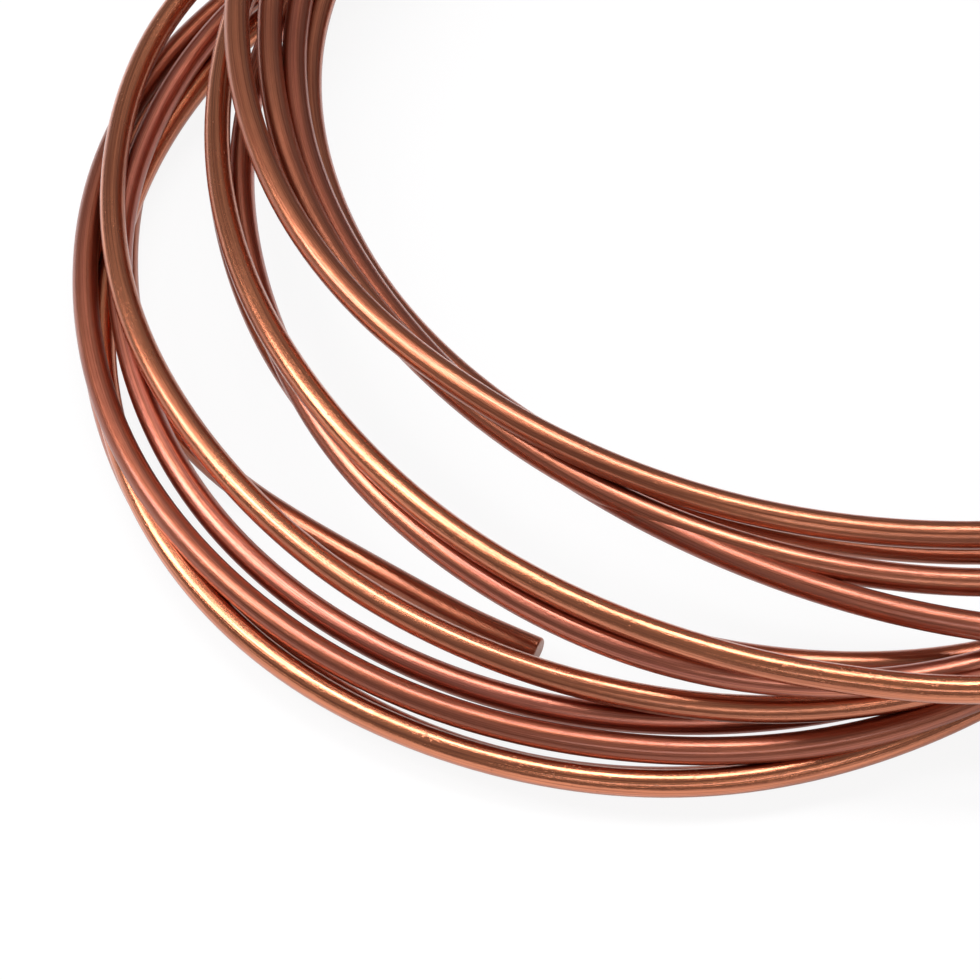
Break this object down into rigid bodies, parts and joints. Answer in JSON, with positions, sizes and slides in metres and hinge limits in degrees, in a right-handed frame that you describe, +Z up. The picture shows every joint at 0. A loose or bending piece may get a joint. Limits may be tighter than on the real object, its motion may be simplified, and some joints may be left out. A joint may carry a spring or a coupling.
{
  "type": "copper wire coil",
  "caption": "Loose coil of bare round copper wire lying flat, its turns slid apart like a fan, with cut wire ends.",
  "frame": {"origin": "middle of the coil's box on the ground it lies on", "axes": "+Z up, through the coil's open middle; the groups of turns have slid apart towards +X and +Y, 43 degrees from +X"},
  "size_m": [0.1566, 0.1554, 0.0251],
  "materials": {
    "bare_copper": "drawn bare copper, semi-bright, with fine draw lines, light tarnish and small scuffs"
  },
  "bodies": {
    "root": {"copper_wire_coil": "bare_copper"}
  },
  "joints": []
}
